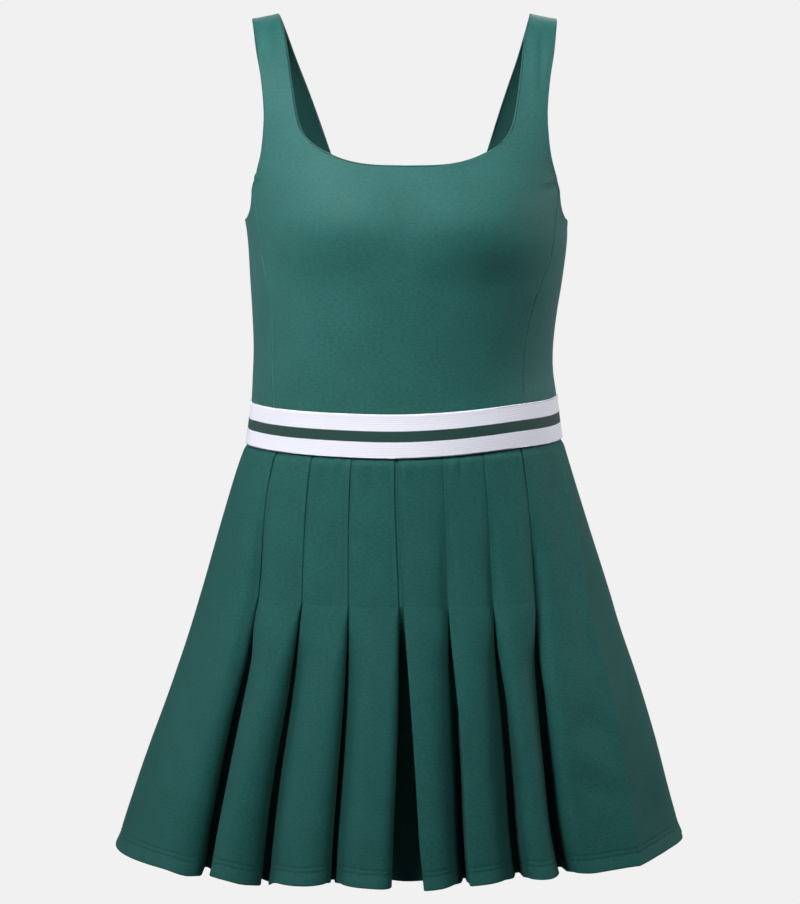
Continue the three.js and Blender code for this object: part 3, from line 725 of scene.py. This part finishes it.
white = node(tree, "ShaderNodeMix", {
    0: shade.outputs[0], 6: (0.66, 0.65, 0.76, 1), 7: (0.79, 0.79, 0.89, 1),
}, data_type="RGBA")
banded = node(tree, "ShaderNodeMix", {
    0: stripe_mask.outputs[0], 6: white.outputs[2], 7: (0.012, 0.05, 0.042, 1),
}, data_type="RGBA")
band_bump = node(tree, "ShaderNodeBump", {"Strength": 0.6, "Distance": 0.0003, "Height": weave})
band_shader = node(tree, "ShaderNodeBsdfPrincipled", {
    "Base Color": banded.outputs[2],
    "Roughness": 0.7,
    "Specular IOR Level": 0.3,
    "Sheen Weight": 0.1,
    "Sheen Roughness": 0.5,
    "Normal": band_bump.outputs[0],
})
tree.links.new(band_shader.outputs[0], elastic_output.inputs["Surface"])
half_band = np.full(len(band_points), band_cloth / 2)
waistband = cloth_shell(
    "waistband_elastic", band_points, band_quads, band_lengths, half_band, half_band, elastic
)
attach(waistband, "root")
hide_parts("waistband")

# Skirt
# A front and a back of the same stretch knit in a firmer weight, knife-pleated towards the
# middle, the pleats pressed, edge-stitched down over the hips and let out below, and the hem
# turned up once and sewn with two rows of needle stitching.
skirt_cloth = 0.7
skirt_top, release, hem = -383.4, -510, -748
# The pressed form: half its width, its depth in front and behind, and how far it hangs aside.
skirt_rows = {
    "z": (-383, -407, -453, -508, -545, -600, -655, -711, -748),
    "width": (141.2, 149.4, 164.1, 181, 191.8, 210, 228, 243.8, 255),
    "front": (110, 113.5, 121, 131, 139, 150, 160, 170, 176),
    "back": (87, 93, 103, 117, 127, 140, 151, 161, 167),
    "shift": (0, -0.5, 0.1, 1.2, 1.2, 1, -0.7, -3.2, -4),
}
# How much higher than its lowest point the hem hangs, by turn in degrees from the middle.
hem_lift = {
    "front": {
        "turn": (-90, -60, -40, -22, -9, -2, 4, 18, 45, 55, 62, 70, 90),
        "rise": (0, 1.4, 1.2, 0.5, 3, 2, 0, 4, 7.2, 9.2, 11.5, 12.4, 8),
    },
    "back": {"turn": (-90, -30, 40, 90), "rise": (0, 1.5, 3, 8)},
}
# Each pleat: its folded edge at the waist, at the release and at the hem, in degrees from the
# middle, and how far it sways aside between the last two. Then at the hem: how far it stands
# out, how deep and how far under its edge it runs, its fold's roundness, and how late its face
# turns in. Last, how far the cloth sinks towards the edge near the end of its stitching.
pleat_facts = ("waist", "release", "hem", "sway", "out", "deep", "under", "round", "late", "sunk")
front_left_pleats = (
    (0.3, 1.7, 6.8, 0, 12, 42, 3, 2, 3, 1.4),
    (16.2, 14.3, 15.6, 0, 10.5, 36, 3, 2, 2.6, 6.5),
    (31.9, 27.8, 28, 0, 11, 38, 5, 14, 1.9, 6.5),
    (49.6, 43.2, 38.6, -2.3, 12, 38, 7, 14, 1.5, 8.5),
)
front_right_pleats = (
    (1.1, -0.2, -0.5, 0, 12, 42, 3, 12, 4, 0.9),
    (16.7, 13.9, 12, 0.2, 11, 32, 4, 18, 2.4, 0.8),
    (32.8, 28.2, 28.1, 1.4, 10, 36, 9, 22, 2.2, 2),
    (51.2, 45.9, 42.8, 1, 12.5, 34, 14, 17, 1.5, 8),
)
back_left_pleats = (
    (0.6, 0.7, 3.2, 0, 11.5, 36, 3, 8, 4, 0.8),
    (16.8, 14.2, 15.4, 0.8, 11, 28, 4, 12, 3, 1.6),
    (33, 28.4, 28, -0.6, 11.5, 30, 7, 6, 2.5, 2),
    (50.6, 44.6, 43, 0, 10.5, 28, 10, 14, 1.5, 2.8),
)
back_right_pleats = (
    (0.8, 0.6, 2.4, 0, 11.5, 36, 3, 5, 3, 0.8),
    (16.4, 13.8, 13.6, -0.5, 10, 30, 4, 15, 4, 1.2),
    (32.4, 28, 29.4, 0.6, 11, 28, 8, 18, 3, 2.2),
    (50.2, 44, 41.6, -0.8, 12, 30, 11, 10, 1.5, 2.6),
)
# A soft fold that was only pressed: its turns as above, then at the waist and at the hem its height
# and how far it reaches before and after its ridge. The back has none, and the columns of its cloth
# are spaced as if there were one at the plain turn.
soft_folds = {
    "front": {"turns": (73.2, 61.5, 53), "height": (4, 9), "before": (5, 16), "after": (6, 27)},
}
plain_turn = 70
# Folds whose corner hangs lower at the hem, by turn, and how wide the sag is in degrees.
low_folds, low_width = {"front": ((-42.4, 5), (-28.1, 5.5))}, 3.6
# The stitched pleats: how close the layers lie, how far each runs under the next and how fast it
# leaves it. Then the open ones: the hidden fold's roundness, how fast a pleat deepens, and how far
# down its face opens.
layer_pitch = 0.82
underlap = {"waist": 16, "release": 13, "haste": 2}
inner_fold, deepening, opening_run = 2, 2.2, 60
# How far above the release the cloth begins to sink and how wide the hollow is, then how much lower
# the deepest cloth hangs at the hem and how deep it lies.
sinking, sunk_width = 100, 7
deep_drop, deep_enough = 4.5, 20
# How far the sewing pulls the cloth in: along a pleat's edge, across its end, along the hem and
# under the band. Then where the rows of stitches run, past the edge and above the hem.
edge_pull, end_pull, hem_pull, band_pull = 0.22, 0.12, 0.35, 2.3
edge_row, hem_rows, stitched_column = 3.2, (11, 15), 3
# How far the hem flares, how much of it is turned up and how much thicker that makes it.
hem_flare, hem_turned, hem_fold = 1.2, 16, 0.6
gather_height = 2.6
edge_stitch = {"pitch": 2.6, "length": 2.0, "thread": 0.17}
hem_stitch = {"pitch": 3.0, "length": 2.4, "thread": 0.19}
# Marks for cloth that lies hidden in a pleat, and for the side seam, in place of a distance past
# the folded edge.
hidden, side_seam = -10, 200
beside_fold = np.array((0.7, 1.4, 2.1, 2.8, 3.6, 4.6))
face_shares = np.array((
    0.04, 0.1, 0.17, 0.25, 0.34, 0.43, 0.52, 0.61, 0.69, 0.76, 0.82, 0.87, 0.91, 0.94, 0.965, 0.985
))
side_shares = np.array((
    0.04, 0.1, 0.18, 0.27, 0.37, 0.47, 0.58, 0.68, 0.77, 0.85, 0.91, 0.96, 0.985, 1
))


def skirt_section(z, side):
    return [float(along(skirt_rows, "z", name, z)) for name in ("width", side, "shift")]


def degree_length(z, side, turn):
    """How long a degree of turn is on the pressed form."""
    width, depth, _ = skirt_section(z, side)
    angle = math.radians(turn)
    return math.radians(1) * math.hypot(width * math.cos(angle), depth * math.sin(angle))


def share_held(z):
    """How far down the stitched part a height is."""
    return min(1, max(0, (skirt_top - z) / (skirt_top - release)))


def share_open(z):
    """How far down the open part a height is."""
    return min(1, max(0, (release - z) / (release - hem)))


def fold_turn(waist, at_release, at_hem, z, sway=0):
    """The turn of a folded edge at a height."""
    opened = share_open(z)
    straight = mix(mix(waist, at_release, share_held(z)), at_hem, opened)
    return straight + 4 * sway * opened * (1 - opened)


def pleat_at(pleat, z):
    """A pleat's measures at a height."""
    facts = dict(zip(pleat_facts, pleat))
    opened = share_open(z)
    loose = float(smooth(opened * underlap["haste"]))
    out = mix(layer_pitch, facts["out"], opened)
    deep = mix(layer_pitch, facts["deep"], 1 - (1 - opened) ** deepening)
    pressed_under = mix(underlap["waist"], underlap["release"], share_held(z))
    under = mix(pressed_under, facts["under"], loose)
    inner = mix(layer_pitch / 2, inner_fold, opened)
    # The largest outer fold that clears the inner one, beside it or above it.
    aside, apart = under - inner, out + deep - inner
    reach = aside + apart + inner
    beside = reach - math.sqrt(reach**2 - aside**2 - apart**2 + inner**2)
    above = (out + deep) / 2 - inner
    wanted = mix(layer_pitch / 2, facts["round"], math.sqrt(opened))
    near_end = float(smooth((sinking - (z - release)) / sinking))
    return {
        "edge": fold_turn(facts["waist"], facts["release"], facts["hem"], z, facts["sway"]),
        "out": out,
        "deep": deep,
        "under": under,
        "inner": inner,
        "outer": min(wanted, mix(above, beside, loose)),
        "late": facts["late"],
        "sunk": facts["sunk"] * near_end * (1 - loose),
    }


def folded_under(fold):
    """The inner fold, the flank and the outer fold, as a belt round two rods."""
    inner, outer = fold["inner"], fold["outer"]
    low = np.array((fold["under"] - inner, inner - fold["deep"]))
    high = np.array((outer, fold["out"] - outer))
    between = high - low
    rods = inner + outer
    leave = math.atan2(between[1], between[0]) - math.acos(rods / max(rods, math.hypot(*between)))
    turns = (np.linspace(-math.pi / 2, leave, 7), np.linspace(leave + math.pi, math.pi / 2, 8))
    inwards, outwards = (
        rod + radius * np.stack([np.cos(turn), np.sin(turn)], -1)
        for rod, radius, turn in ((low, inner, turns[0]), (high, outer, turns[1]))
    )
    flank = [mix(inwards[-1], outwards[0], share) for share in (0.25, 0.5, 0.75)]
    return [*inwards, *flank, *outwards]


def half_section(pleats, z, side, middle):
    """For each point of a half's section: its turn, its level, its distance past the folded edge,
    the number of its pleat, and 1 where the edge is stitched."""
    opened = float(smooth((release - z) / opening_run))
    folds = [pleat_at(pleat, z) for pleat in pleats]
    first = folds[0]
    start = first["edge"] + (first["under"] - first["inner"]) / degree_length(z, side, first["edge"])
    rows = [
        (mix(middle, start, share), -first["deep"], hidden, 0, 0) for share in (0, 0.3, 0.6, 0.85)
    ]
    crease_turn = fold_turn(*soft_folds[side]["turns"], z) if side in soft_folds else plain_turn
    for k, fold in enumerate(folds):
        last = k + 1 == len(folds)
        following = {"edge": 90, "deep": 0, "under": 0, "inner": 0} if last else folds[k + 1]
        per_degree = degree_length(z, side, (fold["edge"] + following["edge"]) / 2)
        width = (following["edge"] - fold["edge"]) * per_degree
        reach = width + following["under"] - following["inner"]
        for at, level in folded_under(fold):
            rows.append((fold["edge"] + at / per_degree, level, hidden, k, 0))
        outer = fold["outer"]
        begin = outer + beside_fold[-1]
        if last:
            to_crease = (crease_turn - fold["edge"]) * per_degree
            shares = [mix(begin, to_crease, side_shares), mix(to_crease, reach, side_shares[:-1])]
        else:
            shares = [mix(begin, reach, face_shares)]
        for place, at in enumerate(np.concatenate([outer + beside_fold, *shares])):
            share = (at - outer) / (reach - outer)
            turning = min(1, (at - outer) / (width + 1 - outer))
            falling = mix(fold["out"], -following["deep"], turning ** fold["late"])
            tucked = 0 if last else smooth((at - width + 3.4) / 3)
            sloped = mix(fold["out"], 0, 0.6 * share if last else 0.3 * share)
            pressed = mix(sloped, -following["deep"], tucked)
            level = mix(pressed, falling, opened)
            rows.append((fold["edge"] + at / per_degree, level, at, k, place == stitched_column))
    rows.append((90, 0, side_seam, len(pleats), 0))
    rows = np.array(rows)
    for fold in folds:
        beside = (rows[:, 0] - fold["edge"]) * degree_length(z, side, fold["edge"])
        rows[:, 1] -= fold["sunk"] * np.exp(-((beside / sunk_width) ** 2))
    return rows


def skirt_point(z, side, turn, out):
    """Places on a section, standing out from the pressed form and lifted as the hem hangs."""
    width, depth, shift = skirt_section(z, side)
    across, forward = np.sin(np.radians(turn)), np.cos(np.radians(turn))
    away_x, away_y = depth * across, width * forward
    size = np.hypot(away_x, away_y)
    y = depth * forward + out * away_y / size
    rise = along(hem_lift[side], "turn", "rise", turn)
    drop = deep_drop * share_open(z) ** 2 * np.clip(-out / deep_enough, 0, 1)
    x = width * across + out * away_x / size + shift
    height = z + rise * share_open(z) - drop
    return settled(np.stack([x, -y if side == "front" else y, height], -1))


# Its wrong-side tone is darker partly for that side's duller face and partly as painted shade of the
# inside.
skirt_knit = knit_material(
    "skirt_knit",
    dark=(0.008, 0.063, 0.056, 1), light=(0.015, 0.099, 0.09, 1), wrong_tone_and_shade=(0.008, 0.05, 0.045, 1),
    roughness=0.72, gloss=0.14, sheen=0.05,
)
skirt_heights = np.concatenate([
    hem + np.linspace(0, 20, 21),
    np.linspace(hem + 24, release - 6, 50),
    release + np.linspace(-4.5, 4.5, 7),
    np.linspace(release + 8, skirt_top - 30, 22),
    skirt_top - np.array((25, 20, 16, 12, 9, 6.5, 4.5, 3, 1.5, 0, -2, -4, -6)),
])


def skirt_panel(name, side, left, right, gathers, creases):
    """Builds a half of the skirt and returns it with its outer face and its section."""
    rows, marks = [], []
    for z in skirt_heights:
        opened, above_hem, below_band = share_open(z), z - hem, skirt_top - z
        middle = (pleat_at(left[0], z)["edge"] - pleat_at(right[0], z)["edge"]) / 2
        left_half = half_section(left, z, side, middle)
        right_half = half_section(right, z, side, -middle)
        right_half[:, 0] *= -1
        section = np.concatenate([right_half[:0:-1], left_half])
        turn, level, past = section[:, 0], section[:, 1].copy(), section[:, 2]
        on_face = past > 0
        held = float(smooth((z - release + 3) / 6))
        level -= held * on_face * edge_pull * np.exp(-(((past - edge_row) / 0.8) ** 2))
        narrow = section[:, 3] < len(left) - 1
        level -= end_pull * math.exp(-(((z - release) / 1.3) ** 2)) * on_face * narrow
        for row in hem_rows:
            level -= hem_pull * math.exp(-(((above_hem - row) / 0.9) ** 2))
        level += hem_flare * float(smooth(1 - above_hem / hem_rows[0]))
        level -= band_pull * math.exp(-((max(0, below_band) / 3.5) ** 2))
        for at, height, wide, run in gathers:
            fade = math.exp(-((below_band / run) ** 2)) * float(smooth(below_band / 5))
            level += gather_height * height * fade * np.exp(-(((turn - at) / wide) ** 2))
        level += 0.5 * opened * np.sin(0.047 * z + 0.19 * turn)
        if side in soft_folds:
            fold = soft_folds[side]
            beside = (turn - fold_turn(*fold["turns"], z)) * degree_length(z, side, 60)
            before, after = mix(*fold["before"], opened), mix(*fold["after"], opened)
            at_waist, at_hem = fold["height"]
            height = mix(at_waist * float(smooth(below_band / 40)), at_hem, opened)
            shape = np.where(beside < 0, np.exp(beside / before), np.exp(-beside / after))
            level += height * shape * (turn > 40) * smooth((90 - turn) / 8)
        places = skirt_point(z, side, turn, level)
        for edge, drop in low_folds.get(side, ()):
            places[:, 2] -= drop * np.exp(-((turn - edge) / low_width) ** 2) * opened**2
        rows.append(places)
        marks.append(section)
    grid = np.array(rows)
    ids = np.arange(grid[..., 0].size).reshape(grid.shape[:2])
    points = grid.reshape(-1, 3)
    quads = grid_quads(ids)
    if side == "back":
        quads = quads[:, ::-1]
    move = np.zeros(len(points))
    for path, height, width in creases:
        move += crease(points[:, [0, 2]], path, height, width)
    points = points + cloth_normals(points, quads) * move[:, None]
    # The turned-up hem is thicker inside, but not in the side seams, where it would show a slit.
    turned_up = np.repeat(smooth((hem_turned - (skirt_heights - hem)) / 1.5)[:, None], grid.shape[1], 1)
    turned_up[:, [0, -1]] = 0
    outer = np.full(len(points), skirt_cloth / 2)
    inner = outer + hem_fold * turned_up.ravel()
    lengths = grid_lengths(grid).reshape(-1, 2)
    shell = cloth_shell(name + "_cloth", points, quads, lengths, outer, inner, skirt_knit)
    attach(shell, "root")
    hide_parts(name)
    face = points + cloth_normals(points, quads) * outer[:, None]
    return shell, face.reshape(grid.shape), np.array(marks)


skirt_thread = thread_material("skirt_thread", (0.008, 0.062, 0.055, 1), (0.018, 0.11, 0.098, 1))


def skirt_lines(face, marks):
    """Where the skirt is sewn: along the pleats' edges, across their ends and round the hem."""
    held_rows = skirt_heights > release - 1
    edge_columns = np.flatnonzero(marks[0, :, 4] == 1)
    lines = [face[held_rows, column] for column in edge_columns]
    end_row = np.argmin(np.abs(skirt_heights - release))
    turn, past, pleat = (marks[end_row, :, k] for k in (0, 2, 3))
    for side_of_middle in (-1, 1):
        for k in range(3):
            across = (pleat == k) & (past > 0) & (turn * side_of_middle > 0.5)
            if across.sum() > 3:
                lines.append(face[end_row, across])
    hems = [face[np.argmin(np.abs(skirt_heights - hem - row))] for row in hem_rows]
    return lines, hems


# The fullness under the band: each gather's turn, height, width in degrees and run down.
front_gathers = (
    (-28, 1.3, 1.1, 20), (-25.4, -0.9, 1.1, 16), (-22.5, 1, 1, 17), (-19.8, -0.6, 1, 12),
    (-11, 0.9, 1, 15), (-8.4, -0.6, 0.9, 13), (-5.8, 0.8, 0.9, 12), (3.4, 0.7, 0.9, 12),
    (20, 0.9, 1, 16), (22.6, -0.8, 0.9, 15), (25.2, 1.2, 1.1, 19), (38, 0.6, 1.2, 12),
)
back_gathers = (
    (-34, 1, 1.2, 17), (-20, -0.8, 1.2, 14), (-9, 0.9, 1.1, 12), (12, 1, 1.3, 15),
    (26, -0.8, 1.1, 14), (39, 0.9, 1.4, 16),
)
# Soft wrinkles near the hem, each with its path, height and width as on the bodice.
front_wrinkles = (
    ([(150, -632), (172, -648), (196, -668)], 0.9, 7),
    ([(146, -655), (168, -668), (186, -682)], -0.7, 6),
    ([(158, -610), (180, -622), (200, -640)], -0.6, 7),
)
front_skirt = skirt_panel(
    "skirt_front", "front", front_left_pleats, front_right_pleats, front_gathers, front_wrinkles
)
back_skirt = skirt_panel("skirt_back", "back", back_left_pleats, back_right_pleats, back_gathers, ())
for (shell, face, marks), flat_size, area, seed in (
    (front_skirt, (1.17, 0.375), 0.343, 11), (back_skirt, (1.105, 0.375), 0.324, 12)
):
    lines, hems = skirt_lines(face, marks)
    edge_sewing, hem_sewing = (
        sew(shell.name + ending, rows, slot="skirt_knit", seed=own_seed, yarn=skirt_thread, **stitch)
        for ending, rows, own_seed, stitch in (
            ("_edge_stitches", lines, seed, edge_stitch), ("_hem_stitches", hems, seed + 5, hem_stitch)
        )
    )
